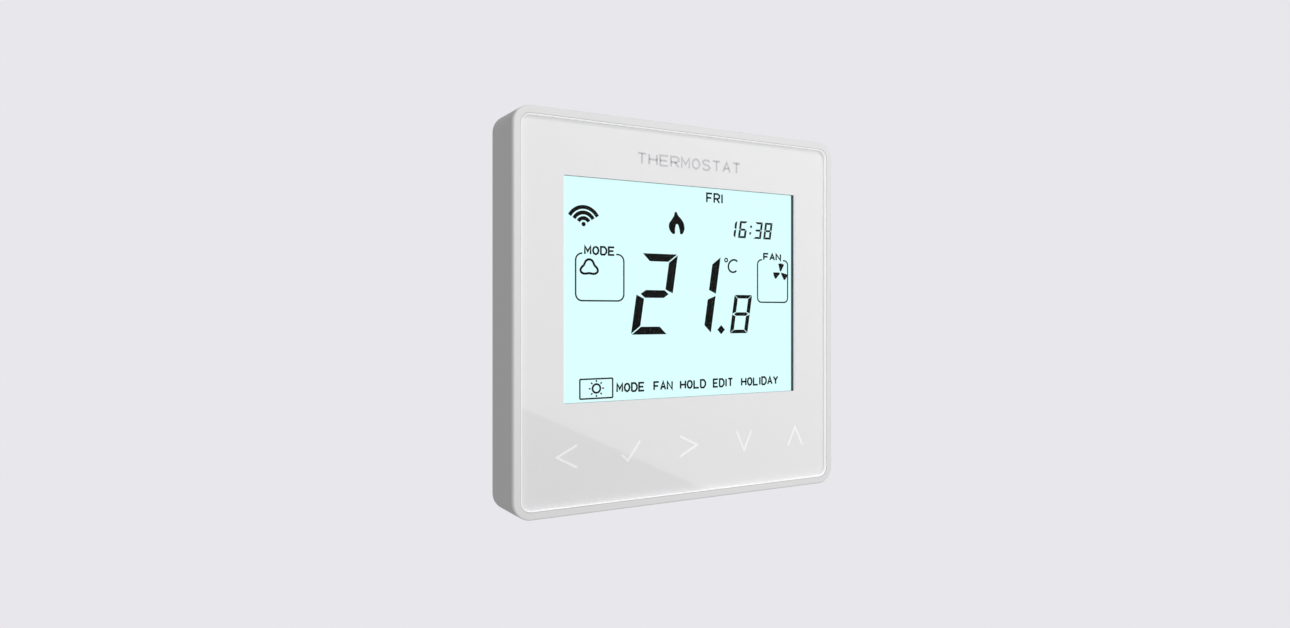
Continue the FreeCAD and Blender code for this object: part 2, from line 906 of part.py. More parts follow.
def power_board_screws():
    """Four self-tapping screws into the posts of the rear box."""
    shank, head, head_height = self_tapper
    screws = []
    for x, z in power_screw_places():
        screw = peg(head, x, (power_board_front - head_height, power_board_front), z)
        screw = screw.fuse(peg(shank, x, (power_board_front, power_board_front + power_screw_length), z))
        face = power_board_front - head_height
        screws.append(screw.cut(driver_cross(1.4 * head, x, (face - 1, face + driver_slot_depth), z)))
    return group(screws)


def on_power_board(place, size, tall):
    """A boxed component on the front of the power board, with softened edges."""
    solid = block(
        span(place[0], size[0]), (power_board_front - tall, power_board_front), span(place[1], size[1])
    )
    front = edges_at_depth(solid, power_board_front - tall)
    return solid.makeFillet(component_edge_radius, edges_along_depth(solid) + front)


def relay(index):
    """Slim relay for one of the switched outputs."""
    x = power_board_left + component_margin + relay_width / 2 + index * relay_pitch
    return on_power_board((x, relay_low + relay_length / 2), (relay_width, relay_length), relay_height)


def power_module():
    """Potted supply that turns mains into low voltage."""
    x = power_board_half_width - component_margin - module_width / 2
    return on_power_board((x, module_low + module_length / 2), (module_width, module_length), module_height)


def fuse():
    front = power_board_front - fuse_height
    solid = peg(fuse_radius, power_board_left + fuse_x, (front, power_board_front), fuse_row)
    return round_front(solid, front, component_edge_radius)


def surge_absorber():
    """Flat disc on two wires, standing across the mains input."""
    x = power_board_left + surge_x
    y = power_board_front - surge_stand - surge_radius
    disc = post(surge_radius, x, y, span(surge_row, surge_thickness))
    wires = []
    for side in (-1, 1):
        wire_x = x + side * surge_radius / 2
        wires.append(peg(wire_radius, wire_x, (y, power_board_front), surge_row))
    return disc.multiFuse(wires)


def film_capacitor():
    place = (power_board_left + film_x, film_row)
    return on_power_board(place, (film_width, film_thickness), film_height)


def smoothing_capacitor():
    front = power_board_front - smoothing_height
    x = power_board_left + smoothing_x
    solid = peg(smoothing_radius, x, (front, power_board_front), smoothing_row)
    return round_front(solid, front, component_edge_radius)


def socket_tail(x):
    """A socket contact's tail, from inside the socket to the back of the power board."""
    start = socket_front + pin_engaged + socket_contact_gap
    return block(span(x, socket_tail_size), (start, power_board_back), span(plug_row, socket_tail_size))


def socket_pins():
    return group([socket_tail(x) for x in pin_places()])


def board_socket():
    """Tall socket that the control board's pins push into."""
    body = block(
        span(0, pin_count * pin_pitch + 2 * socket_end),
        (socket_front, socket_front + socket_length),
        span(plug_row, socket_depth),
    )
    mouth = pin_size + 2 * socket_pin_clearance
    end = socket_front + pin_engaged + socket_contact_gap
    cuts = [block(span(x, mouth), (socket_front - 1, end), span(plug_row, mouth)) for x in pin_places()]
    return body.cut(cuts + [socket_tail(x) for x in pin_places()])


# ---------------------------------------------------------------- wall half: terminals
def terminal_block():
    """Housing with a row of rising-cage clamps, open at the power board and at each wire entry."""
    body = block(
        span(0, 2 * terminal_half_width), (terminal_front, power_board_front), (terminal_low, terminal_high)
    )
    chamber_z = (terminal_low + terminal_wall, terminal_high - terminal_back_wall)
    entry_z = (terminal_low - 1, terminal_low + terminal_wall + 1)
    cuts = []
    for x in way_places():
        across = span(x, 2 * way_half)
        cuts.append(block(across, (terminal_shelf_back, power_board_front + 1), chamber_z))
        cuts.append(peg(way_half, x, (terminal_front - 1, terminal_head_back), terminal_screw_row))
        neck = (terminal_head_back - 1, terminal_shelf_back + 1)
        cuts.append(peg(terminal_screw_radius + screw_hole_clearance, x, neck, terminal_screw_row))
        cuts.append(block(across, (tongue_back, cage_back - cage_floor), entry_z))
    return body.cut(cuts)


def tongue_leg(x):
    """The tongue's solder leg, down the back of the chamber and through the board."""
    back_face = terminal_high - terminal_back_wall - tongue_clearance
    return block(
        span(x, tongue_leg_width),
        (tongue_front, power_board_back + tongue_solder),
        (back_face - tongue_leg_thickness, back_face),
    )


def terminal_tongues():
    """Fixed contact strips that the wires are clamped against."""
    tongues = []
    half = cage_half - cage_sheet - tongue_clearance
    end = terminal_high - terminal_back_wall - tongue_clearance
    for x in way_places():
        z = (terminal_low + terminal_wall + tongue_tip_gap, end)
        strip = block(span(x, 2 * half), (tongue_front, tongue_back), z)
        tongues.append(strip.fuse(tongue_leg(x)))
    return group(tongues)


def terminal_screw(x):
    """Slotted screw that turns in place and draws its cage forward."""
    head_y = (terminal_head_front, terminal_head_back)
    screw = peg(cage_half, x, head_y, terminal_screw_row)
    shank_end = tongue_front - screw_hole_clearance
    screw = screw.fuse(peg(terminal_screw_radius, x, (terminal_head_back, shank_end), terminal_screw_row))
    slot_y = (terminal_head_front - 1, terminal_head_front + driver_slot_depth)
    return screw.cut(block(span(x, 2 * cage_half + 1), slot_y, span(terminal_screw_row, driver_slot_width)))


def clamp_cage(x):
    """Square steel loop, threaded in front, that lifts the wire against the tongue."""
    z = span(terminal_screw_row, cage_length)
    loop = block(span(x, 2 * cage_half), (cage_front, cage_back), z)
    hollow_y = (cage_thread_back, cage_back - cage_floor)
    hollow = block(span(x, 2 * (cage_half - cage_sheet)), hollow_y, (z[0] - 1, z[1] + 1))
    thread = terminal_screw_radius + thread_clearance
    return loop.cut([hollow, peg(thread, x, (cage_front - 1, cage_thread_back + 1), terminal_screw_row)])


# ---------------------------------------------------------------- the assembly
nodes = {
    "front_bezel": front_bezel(),
    "front_lens": front_lens(),
    "lens_print": lens_print(),
    "lens_tape": lens_tape(),
    "display_gasket": display_gasket(),
    "lcd_front_polariser": lcd_front_polariser(),
    "lcd_front_glass": lcd_front_glass(),
    "lcd_rear_glass": lcd_rear_glass(),
    "lcd_reflector": lcd_reflector(),
    "light_guide": light_guide(),
    "backlight_leds": backlight_leds(),
    "contact_strips": contact_strips(),
    "control_board": control_board(),
    "touch_pads": touch_pads(),
    "processor": processor(),
    "board_chips": board_chips(),
    "radio_module": radio_module(),
    "clock_battery": clock_battery(),
    "battery_clip": battery_clip(),
    "room_sensor": room_sensor(),
    "pin_header": pin_header(),
    "header_pins": header_pins(),
    "control_board_screws": control_board_screws(),
    "front_case": front_case(),
    "retaining_washer": retaining_washer(),
    "retaining_screw": retaining_screw(),
    "back_plate": back_plate(),
    "rear_box_screws": rear_box_screws(),
    "rear_box": rear_box(),
    "power_board": power_board(),
    "power_board_screws": power_board_screws(),
    "power_module": power_module(),
    "fuse": fuse(),
    "surge_absorber": surge_absorber(),
    "film_capacitor": film_capacitor(),
    "smoothing_capacitor": smoothing_capacitor(),
    "board_socket": board_socket(),
    "socket_pins": socket_pins(),
    "terminal_block": terminal_block(),
    "terminal_tongues": terminal_tongues(),
}
for index in range(relay_count):
    nodes[f"relay_{index + 1}"] = relay(index)
for index, x in enumerate(way_places()):
    nodes[f"terminal_screw_{index + 1}"] = terminal_screw(x)
    nodes[f"clamp_cage_{index + 1}"] = clamp_cage(x)

os.makedirs("parts", exist_ok=True)
for name, shape in nodes.items():
    shape.exportStep(f"parts/{name}.step")
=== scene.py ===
import math

import bmesh
import bpy
from mathutils import Matrix, Vector


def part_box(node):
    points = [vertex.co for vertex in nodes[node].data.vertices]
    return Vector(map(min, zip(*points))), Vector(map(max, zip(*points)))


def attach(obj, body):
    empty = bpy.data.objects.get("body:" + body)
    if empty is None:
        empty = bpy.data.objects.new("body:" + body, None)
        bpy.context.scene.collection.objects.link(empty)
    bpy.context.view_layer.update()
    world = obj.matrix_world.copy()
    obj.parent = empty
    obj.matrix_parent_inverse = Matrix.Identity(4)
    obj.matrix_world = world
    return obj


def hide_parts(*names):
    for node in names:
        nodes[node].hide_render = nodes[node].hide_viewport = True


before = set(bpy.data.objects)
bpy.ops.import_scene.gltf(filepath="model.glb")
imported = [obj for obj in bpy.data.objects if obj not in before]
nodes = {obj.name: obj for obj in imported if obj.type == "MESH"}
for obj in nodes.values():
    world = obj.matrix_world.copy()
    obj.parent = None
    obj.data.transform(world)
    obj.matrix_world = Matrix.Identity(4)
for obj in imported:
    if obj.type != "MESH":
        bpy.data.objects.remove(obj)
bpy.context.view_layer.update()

# ---------------------------------------------------------------- back plate
# A shallow tray moulded in white polycarbonate and screwed to the wall box through two slots.
# Its faces have the fine satin that a spark-eroded mould leaves.
MM = 0.001  # the frame is in metres, and sizes here are in mm
PATCH = 6.0  # how far apart the faint clouds in a colour lie
SHEEN_DRIFT = 0.06  # how far roughness strays from its mean


def linear(hex_colour):
    """An sRGB hex colour as the linear RGBA that shaders take."""
    parts = [int(hex_colour[i : i + 2], 16) / 255 for i in (1, 3, 5)]
    return [c / 12.92 if c <= 0.04045 else ((c + 0.055) / 1.055) ** 2.4 for c in parts] + [1.0]


def add(tree, kind, inputs=None, **settings):
    """Adds a node with its settings. Each input takes a value, or the socket it is linked from."""
    made = tree.nodes.new(kind)
    for name, value in settings.items():
        setattr(made, name, value)
    for name, value in (inputs or {}).items():
        if isinstance(value, bpy.types.NodeSocket):
            tree.links.new(value, made.inputs[name])
        else:
            made.inputs[name].default_value = value
    return made


def new_material(name):
    """An empty material and its node tree."""
    material = bpy.data.materials.new(name)
    material.use_nodes = True
    material.node_tree.nodes.clear()
    return material, material.node_tree


def clouded(tree, place, colour, spread, size):
    """A colour that wanders from its mean by the share spread, over patches of this size in mm."""
    noise = add(tree, "ShaderNodeTexNoise", {"Vector": place, "Scale": 1 / (size * MM), "Detail": 3.0})
    base = linear(colour)
    mix = add(tree, "ShaderNodeMix", {0: noise.outputs["Fac"]}, data_type="RGBA")
    mix.inputs["A"].default_value = [c * (1 - spread) for c in base[:3]] + [1.0]
    mix.inputs["B"].default_value = [min(1.0, c * (1 + spread)) for c in base[:3]] + [1.0]
    return mix.outputs["Result"]


def grained(tree, place, roughness, grain, depth):
    """A Principled surface with a fine, even relief: grain is its spacing in mm, depth its height."""
    fine = add(tree, "ShaderNodeTexNoise", {"Vector": place, "Scale": 1 / (grain * MM), "Detail": 2.0})
    sheen = add(tree, "ShaderNodeMapRange", {"Value": fine.outputs["Fac"]})
    sheen.inputs["To Min"].default_value = max(0.03, roughness - SHEEN_DRIFT)
    sheen.inputs["To Max"].default_value = min(1.0, roughness + SHEEN_DRIFT)
    relief = add(tree, "ShaderNodeBump", {"Height": fine.outputs["Fac"], "Distance": depth * MM})
    surface = add(tree, "ShaderNodeBsdfPrincipled", {"Roughness": sheen.outputs["Result"]})
    tree.links.new(relief.outputs["Normal"], surface.inputs["Normal"])
    add(tree, "ShaderNodeOutputMaterial", {"Surface": surface.outputs["BSDF"]})
    return surface


def moulded(name, colour, roughness, grain, depth, spread=0.03, metallic=0.0):
    """One colour with the grain of its mould, rolling or plating."""
    material, tree = new_material(name)
    place = add(tree, "ShaderNodeTexCoord").outputs["Object"]
    surface = grained(tree, place, roughness, grain, depth)
    tree.links.new(clouded(tree, place, colour, spread, PATCH), surface.inputs["Base Color"])
    surface.inputs["Metallic"].default_value = metallic
    return material


def wear(material, *names):
    """Gives CAD nodes their finish."""
    for name in names:
        for slot in nodes[name].material_slots:
            slot.material = material


def piece(name, mesh, material, body):
    """Puts a finished mesh in the scene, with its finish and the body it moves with."""
    made = bpy.data.objects.new(name, mesh)
    bpy.context.scene.collection.objects.link(made)
    mesh.materials.clear()
    mesh.materials.append(material)
    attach(made, body)
    return made


# Moulded polycarbonate: a pale, faintly warm white with a satin sheen.
polycarbonate = moulded("moulded_polycarbonate", "#E6E5E1", 0.42, 0.3, 0.004)
wear(polycarbonate, "back_plate")

# ---------------------------------------------------------------- ribs of the back plate
# Low stiffening ribs on the wall side of the tray, above, below and beside the rear box. They are
# one moulding with the plate.


def size_tree(name, sizes):
    """A Geometry Nodes tree with named size inputs, and its input and output nodes."""
    tree = bpy.data.node_groups.new(name, "GeometryNodeTree")
    tree.interface.new_socket("Geometry", in_out="OUTPUT", socket_type="NodeSocketGeometry")
    tree.interface.new_socket("Geometry", in_out="INPUT", socket_type="NodeSocketGeometry")
    for label, kind in sizes.items():
        tree.interface.new_socket(label, in_out="INPUT", socket_type="NodeSocket" + kind)
    tree.interface.new_socket("Finish", in_out="INPUT", socket_type="NodeSocketMaterial")
    return tree, add(tree, "NodeGroupInput"), add(tree, "NodeGroupOutput")


def finish_tree(tree, given, result, geometry):
    """Ends a tree: the copies are made real and get their finish."""
    real = add(tree, "GeometryNodeRealizeInstances", {"Geometry": geometry})
    painted = add(tree, "GeometryNodeSetMaterial", {"Geometry": real.outputs["Geometry"]})
    tree.links.new(given.outputs["Finish"], painted.inputs["Material"])
    tree.links.new(painted.outputs["Geometry"], result.inputs["Geometry"])


def grown(tree, points, finish, **sizes):
    """What a tree makes at these points, as a plain mesh."""
    start = bpy.data.meshes.new("start")
    start.from_pydata(points, [], [])
    holder = bpy.data.objects.new("holder", start)
    bpy.context.scene.collection.objects.link(holder)
    modifier = holder.modifiers.new("grow", "NODES")
    modifier.node_group = tree
    values = {**sizes, "Finish": finish}
    for item in tree.interface.items_tree:
        if item.in_out == "INPUT" and item.name != "Geometry":
            modifier[item.identifier] = values[item.name]
    graph = bpy.context.evaluated_depsgraph_get()
    mesh = bpy.data.meshes.new_from_object(holder.evaluated_get(graph))
    bpy.data.objects.remove(holder)
    return mesh


def row(start, step, count):
    """Evenly spaced points, from a start and a step in mm, as metres."""
    return [tuple((Vector(start) + Vector(step) * index) * MM) for index in range(count)]


def joined(meshes):
    """Several meshes as one."""
    whole = bmesh.new()
    for mesh in meshes:
        whole.from_mesh(mesh)
    made = bpy.data.meshes.new("joined")
    whole.to_mesh(made)
    whole.free()
    return made


# A bar of one size stands at each point.
bar_tree, given, result = size_tree("bars_on_points", {"Size": "Vector"})
bar = add(bar_tree, "GeometryNodeMeshCube", {"Size": given.outputs["Size"]})
bars = add(bar_tree, "GeometryNodeInstanceOnPoints", {"Points": given.outputs["Geometry"]})
bar_tree.links.new(bar.outputs["Mesh"], bars.inputs["Instance"])
finish_tree(bar_tree, given, result, bars.outputs["Instances"])


def bars_at(points, size, finish):
    """Bars at these points, of a size in mm."""
    return grown(bar_tree, points, finish, Size=tuple(side * MM for side in size))


# Upright ribs stand in rows of six above and below the rear box, and level ones in rows of four
# beside it. Each row starts near the middle line of the plate and runs outwards.
RIB = 0.8
RIB_DEPTH = 1.2
RIB_Y = -0.75
RIB_STEP = 5.0
UPRIGHT_START = 8.0
LEVEL_START = 8.5
LEVEL_LENGTH = 13.0
LEVEL_X = 31.4
box_low, box_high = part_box("rear_box")
upright_places = ((box_high.z / MM + 2.6, 4.4), (box_low.z / MM - 3.2, 5.4))  # middle and length
rib_rows = []
for side in (-1, 1):
    for z, tall in upright_places:
        upright = row((side * UPRIGHT_START, RIB_Y, z), (side * RIB_STEP, 0, 0), 6)
        rib_rows.append(bars_at(upright, (RIB, RIB_DEPTH, tall), polycarbonate))
    for end in (-1, 1):
        level = row((side * LEVEL_X, RIB_Y, end * LEVEL_START), (0, 0, end * RIB_STEP), 4)
        rib_rows.append(bars_at(level, (LEVEL_LENGTH, RIB_DEPTH, RIB), polycarbonate))
piece("back_plate_ribs", joined(rib_rows), polycarbonate, "wall_half")

# ---------------------------------------------------------------- rear box
# Open-fronted box of the same polycarbonate, screwed behind the plate. Four cross-slotted,
# zinc-plated screws hold it, and four more hold the power board inside it.
wear(polycarbonate, "rear_box")

# Crush ribs on its left and right sides wedge it in the wall box, and are moulded with it.
CRUSH_RIB = (0.5, 14.0, 0.9)
CRUSH_STEP = 8.0
CRUSH_Y = 9.5
CRUSH_LOWEST = -20.0
crush_x = box_high.x / MM + 0.15
crush_rows = []
for side in (-1, 1):
    places = row((side * crush_x, CRUSH_Y, CRUSH_LOWEST), (0, 0, CRUSH_STEP), 6)
    crush_rows.append(bars_at(places, CRUSH_RIB, polycarbonate))
piece("rear_box_ribs", joined(crush_rows), polycarbonate, "wall_half")

# Zinc-plated steel: a pale, slightly blue-grey metal with a soft shine.
zinc = moulded("zinc_plated_steel", "#B9BCC0", 0.32, 0.15, 0.003, metallic=1.0)
wear(zinc, "rear_box_screws", "power_board_screws", "control_board_screws", "retaining_screw")

# ---------------------------------------------------------------- power board
# Glass-epoxy laminate under green solder mask. Broad copper tracks show through the mask as a
# lighter green, and each through-hole lead ends in a bright solder joint on the back.


def masked_board(name, mask, copper, track, pitch):
    """Solder mask over tracks: track is the bare gap between them and pitch their spacing, in mm."""
    material, tree = new_material(name)
    place = add(tree, "ShaderNodeTexCoord").outputs["Object"]
    upright = add(tree, "ShaderNodeMapping", {"Vector": place})
    upright.inputs["Rotation"].default_value = (math.pi / 2, 0, 0)
    tracks = add(tree, "ShaderNodeTexBrick", {"Vector": upright.outputs["Vector"], "Scale": 1 / MM})
    tracks.inputs["Color1"].default_value = linear(copper)
    tracks.inputs["Color2"].default_value = linear(mask)
    tracks.inputs["Mortar"].default_value = linear(mask)
    tracks.inputs["Mortar Size"].default_value = track
    tracks.inputs["Brick Width"].default_value = 5.5 * pitch
    tracks.inputs["Row Height"].default_value = pitch
    surface = grained(tree, place, 0.3, 0.5, 0.004)
    tree.links.new(tracks.outputs["Color"], surface.inputs["Base Color"])
    return material


# Glossy solder mask: deep green, with the tracks under it a shade lighter.
power_mask = masked_board("green_solder_mask_heavy", "#0E4A2A", "#1C6A3C", 0.5, 2.4)
wear(power_mask, "power_board")
solder_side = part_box("power_board")[1].y

# Lead-free solder, wave-soldered: a small bright cone round each lead.
solder = moulded("solder_joint", "#C9CBCC", 0.22, 0.4, 0.01, metallic=1.0)
joint_tree, given, result = size_tree("solder_joints", {"Foot": "Float", "Height": "Float"})
cone = add(joint_tree, "GeometryNodeMeshCone", {"Vertices": 10, "Depth": given.outputs["Height"]})
joint_tree.links.new(given.outputs["Foot"], cone.inputs["Radius Bottom"])
LEAD_TIP = 0.2
cone.inputs["Radius Top"].default_value = LEAD_TIP * MM
joints = add(joint_tree, "GeometryNodeInstanceOnPoints", {"Points": given.outputs["Geometry"]})
joint_tree.links.new(cone.outputs["Mesh"], joints.inputs["Instance"])
joints.inputs["Rotation"].default_value = (-math.pi / 2, 0, 0)
finish_tree(joint_tree, given, result, joints.outputs["Instances"])


def spread_along(start, length, count):
    """Evenly spaced places along a length."""
    return [start + length * index / max(count - 1, 1) for index in range(count)]


def leads(name, across, up, inset):
    """Where a component's leads come through its board: a grid inside its outline."""
    low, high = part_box(name)
    margin = inset * MM
    xs = spread_along(low.x + margin, high.x - low.x - 2 * margin, across)
    zs = spread_along(low.z + margin, high.z - low.z - 2 * margin, up)
    return [(x, solder_side, z) for x in xs for z in zs]


lead_points = []
for index in range(1, 5):
    lead_points += leads(f"relay_{index}", 1, 4, 2.4)
for name, across, up, inset in (
    ("power_module", 2, 3, 2.6),
    ("fuse", 2, 1, 3.0),
    ("film_capacitor", 2, 1, 1.6),
    ("smoothing_capacitor", 2, 1, 2.6),
    ("surge_absorber", 2, 1, 1.8),
):
    lead_points += leads(name, across, up, inset)
PIN_PITCH = 2.54
PIN_ROW_Z = -13.0
first_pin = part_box("socket_pins")[0].x / MM + 0.25
lead_points += row((first_pin, solder_side / MM, PIN_ROW_Z), (PIN_PITCH, 0, 0), 8)
TONGUE_ROW_Z = -17.1
for index in range(1, 9):
    low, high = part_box(f"terminal_screw_{index}")
    lead_points.append(((low.x + high.x) / 2, solder_side, TONGUE_ROW_Z * MM))
piece(
    "power_board_solder",
    grown(joint_tree, lead_points, solder, Foot=0.9 * MM, Height=0.7 * MM),
    solder,
    "wall_half",
)

# ---------------------------------------------------------------- power components
# Four sealed relays, a potted supply module, a fuse, a surge absorber and two capacitors, each
# soldered through the power board.

# Moulded PBT: a strong blue with a smooth, half-gloss skin.
relay_case = moulded("relay_case_pbt", "#2A4C8F", 0.3, 0.4, 0.003)
wear(relay_case, "relay_1", "relay_2", "relay_3", "relay_4")
# Moulded case filled with potting resin: near black, with a soft sheen.
wear(moulded("potted_module_case", "#1B1B1D", 0.45, 0.3, 0.004), "power_module")
# Moulded phenolic: dark brown with a low sheen.
wear(moulded("fuse_case_brown", "#5F3B28", 0.4, 0.3, 0.003), "fuse")
# Dipped epoxy: a bright blue coat, glossy and slightly wavy where it ran.
wear(moulded("dipped_epoxy_blue", "#1F4FA0", 0.18, 1.2, 0.02), "surge_absorber")
# Moulded box of filled plastic: mustard yellow and smooth.
wear(moulded("film_capacitor_case", "#D8B93C", 0.35, 0.3, 0.003), "film_capacitor")
# Heat-shrunk sleeve: dark navy, drawn tight, with shallow ripples.
wear(moulded("shrunk_sleeve_navy", "#1C2233", 0.25, 2.0, 0.01), "smoothing_capacitor")
# Moulded nylon: black with a faint matt grain.
wear(moulded("nylon_black", "#1A1A1C", 0.5, 0.3, 0.004), "board_socket", "pin_header")
# Gold flash over nickel: warm yellow and bright.
gold = moulded("gold_flash", "#E3C05A", 0.2, 0.2, 0.002, metallic=1.0)
wear(gold, "socket_pins", "header_pins")

# ---------------------------------------------------------------- terminals
# A green housing with eight rising-cage clamps. Its steel screws turn in place and draw their
# cages forward, and tinned brass tongues carry the current to the board.

# Moulded polyamide: a mid green with a satin skin.
wear(moulded("terminal_polyamide_green", "#2F6B45", 0.42, 0.3, 0.004), "terminal_block")
# Tin-plated brass: pale, with the yellow of the brass showing through a little.
wear(moulded("tinned_brass", "#C9C2A2", 0.28, 0.2, 0.003, metallic=1.0), "terminal_tongues")
# Pressed and zinc-plated steel: a warm grey metal, duller than the screws.
cage_steel = moulded("zinc_plated_cage", "#B3B0A8", 0.36, 0.2, 0.004, metallic=1.0)
for index in range(1, 9):
    wear(zinc, f"terminal_screw_{index}")
    wear(cage_steel, f"clamp_cage_{index}")

# ---------------------------------------------------------------- front case
# The shell that makes the four sides, moulded in ABS with a fine matt grain; its grey is painted
# shade. A captive screw in its lower edge holds it to the back plate.

# Moulded ABS: an even mid grey, matt, painted as dark as the shade on the sides.
shade_painted_abs = moulded("moulded_abs_painted_shade_grey", "#BABABA", 0.55, 0.35, 0.004, spread=0.012)
wear(shade_painted_abs, "front_case")
# Moulded natural nylon: milky white and satin.
wear(moulded("nylon_natural", "#E4E2DA", 0.45, 0.3, 0.003), "retaining_washer")

# ---------------------------------------------------------------- control board
# A thinner laminate with fine tracks. It carries the processor, the radio, the clock's coin cell,
# the room sensor and the pins that plug into the power board's socket.

# The same glossy mask over tracks a third as wide.
control_mask = masked_board("green_solder_mask_fine", "#0D4728", "#19603A", 0.16, 0.8)
wear(control_mask, "control_board")
# Moulded epoxy: near black, with a dull, sandy finish.
epoxy = moulded("chip_epoxy", "#202023", 0.55, 0.12, 0.006)
wear(epoxy, "processor", "board_chips")
# Tin-plated steel: bright, with a faint grain.
tinned = moulded("tinned_steel", "#C8C9C8", 0.25, 0.6, 0.004, metallic=1.0)
wear(tinned, "radio_module", "battery_clip")
# Nickel-plated steel: a bright, smooth, white metal.
wear(moulded("nickel_plated_cell", "#CFCFCD", 0.2, 0.5, 0.003, metallic=1.0), "clock_battery")
# Dipped epoxy: a glossy black bead.
wear(moulded("dipped_epoxy_black", "#1A1A1A", 0.2, 0.8, 0.01), "room_sensor")
board_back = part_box("control_board")[1].y / MM

# Gull-wing legs stand on all four sides of the processor, and on two sides of each small chip.
LEG_Y = board_back + 0.2
LEG_THICK = 0.36
LEG_PITCH = 0.8
LEG_REACH = 0.5
LEG_ROW = 4.8  # half the length of a row of thirteen
chip_low, chip_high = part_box("processor")
chip_x = (chip_low.x + chip_high.x) / 2 / MM
chip_z = (chip_low.z + chip_high.z) / 2 / MM
reach = (chip_high.x - chip_low.x) / 2 / MM + LEG_REACH
legs = []
for side in (-1, 1):
    upright = row((chip_x + side * reach, LEG_Y, chip_z - LEG_ROW), (0, 0, LEG_PITCH), 13)
    level = row((chip_x - LEG_ROW, LEG_Y, chip_z + side * reach), (LEG_PITCH, 0, 0), 13)
    legs.append(bars_at(upright, (1.0, LEG_THICK, 0.35), tinned))
    legs.append(bars_at(level, (0.35, LEG_THICK, 1.0), tinned))
SMALL_PITCH = 1.27
SMALL_CHIPS = ((0.0, -24.0, 3.0), (-28.0, 26.0, 2.5), (16.0, 4.0, 2.5))  # x, z and half width
for x, z, half_width in SMALL_CHIPS:
    for side in (-1, 1):
        start = (x + side * (half_width + 0.4), LEG_Y, z - SMALL_PITCH)
        legs.append(bars_at(row(start, (0, 0, SMALL_PITCH), 3), (0.8, LEG_THICK, 0.4), tinned))
piece("board_chip_legs", joined(legs), tinned, "front_half")

# Rows of resistors and capacitors, soldered flat. Each body lies between two tinned ends.

# Glazed ceramic: a blue-black skin with a low gloss.
resistor = moulded("ceramic_resistor_black", "#1B1C20", 0.35, 0.3, 0.003)
# Fired ceramic: plain tan, with little shine.
ceramic = moulded("ceramic_capacitor_tan", "#A58763", 0.45, 0.3, 0.003)
CHIP_BODY = (0.8, 0.5, 1.2)
CHIP_END = (0.84, 0.52, 0.36)
CHIP_END_Z = 0.78
CHIP_STEP = 2.2
CHIP_Y = board_back + 0.26
# Each row is the (x, z) that it starts from, and how many stand in it.
RESISTOR_ROWS = (((-6.0, 24.0), 7), ((-6.0, 30.0), 6), ((-2.0, -4.0), 5), ((20.0, -6.0), 5))
CAPACITOR_ROWS = (((-6.0, 27.0), 7), ((-24.0, 3.0), 4), ((-2.0, -7.0), 5), ((20.0, 14.0), 4))
ends = []
for name, finish, rows in (
    ("board_resistors", resistor, RESISTOR_ROWS),
    ("board_capacitors", ceramic, CAPACITOR_ROWS),
):
    bodies = []
    for (x, z), count in rows:
        bodies.append(bars_at(row((x, CHIP_Y, z), (CHIP_STEP, 0, 0), count), CHIP_BODY, finish))
        for side in (-1, 1):
            places = row((x, CHIP_Y, z + side * CHIP_END_Z), (CHIP_STEP, 0, 0), count)
            ends.append(bars_at(places, CHIP_END, tinned))
    piece(name, joined(bodies), finish, "front_half")
piece("board_solder_ends", joined(ends), tinned, "front_half")

# ---------------------------------------------------------------- touch pads and display layers
# Plugs of conductive rubber join the panel to the board under each key. The display is two glass
# plates between a polarising film and a reflector, lit from one edge through an acrylic guide.

# Carbon-filled rubber: charcoal and dull.
wear(moulded("conductive_rubber", "#2C2C2E", 0.6, 0.5, 0.006), "touch_pads")
# Moulded rubber: dark grey-black and dull.
wear(moulded("gasket_rubber", "#3A3D3E", 0.6, 0.4, 0.006), "display_gasket")
# Silicone in fine stripes of carbon, too fine to draw: a dusty pink over all.
wear(moulded("striped_silicone", "#C58C96", 0.5, 0.3, 0.006), "contact_strips")
# Pearl reflector film: a clean white with a silky sheen.
wear(moulded("reflector_film", "#F2F2F0", 0.35, 0.5, 0.002), "lcd_reflector")
# Moulded lamp packages: cream, tinted by the phosphor in them.
wear(moulded("led_package", "#F2EBC4", 0.3, 0.4, 0.002), "backlight_leds")
# Double-sided adhesive sheet: off-white and matt.
wear(moulded("adhesive_sheet", "#E8E7DF", 0.7, 0.5, 0.004), "lens_tape")


def clear(name, tint, roughness):
    """Clear glass or acrylic with the faint tint that its edges show."""
    material, tree = new_material(name)
    place = add(tree, "ShaderNodeTexCoord").outputs["Object"]
    surface = grained(tree, place, roughness, 2.0, 0.001)
    tree.links.new(clouded(tree, place, tint, 0.01, 8.0), surface.inputs["Base Color"])
    surface.inputs["Transmission Weight"].default_value = 1.0
    surface.inputs["IOR"].default_value = 1.5
    return material


# Thin float glass: clear, with a cold green tint.
wear(clear("float_glass", "#E3F3EE", 0.06), "lcd_front_glass", "lcd_rear_glass")
# Moulded acrylic: clear, a little hazy, with a faint cool tint.
wear(clear("guide_acrylic", "#EEF9F9", 0.1), "light_guide")

# Polarising film over the lit cell: a pale icy cyan, even over its whole face.
film, tree = new_material("lit_display_film")
place = add(tree, "ShaderNodeTexCoord").outputs["Object"]
surface = grained(tree, place, 0.45, 0.25, 0.001)
surface.inputs["Base Color"].default_value = linear("#202626")
surface.inputs["Specular IOR Level"].default_value = 0.2
tree.links.new(clouded(tree, place, "#D8FDFE", 0.003, 12.0), surface.inputs["Emission Color"])
surface.inputs["Emission Strength"].default_value = 1.0
wear(film, "lcd_front_polariser")

# ---------------------------------------------------------------- display segments
# What the liquid crystal darkens: digits of bevelled segments, small signs and short words. Each
# is a thin dark plate against the film.


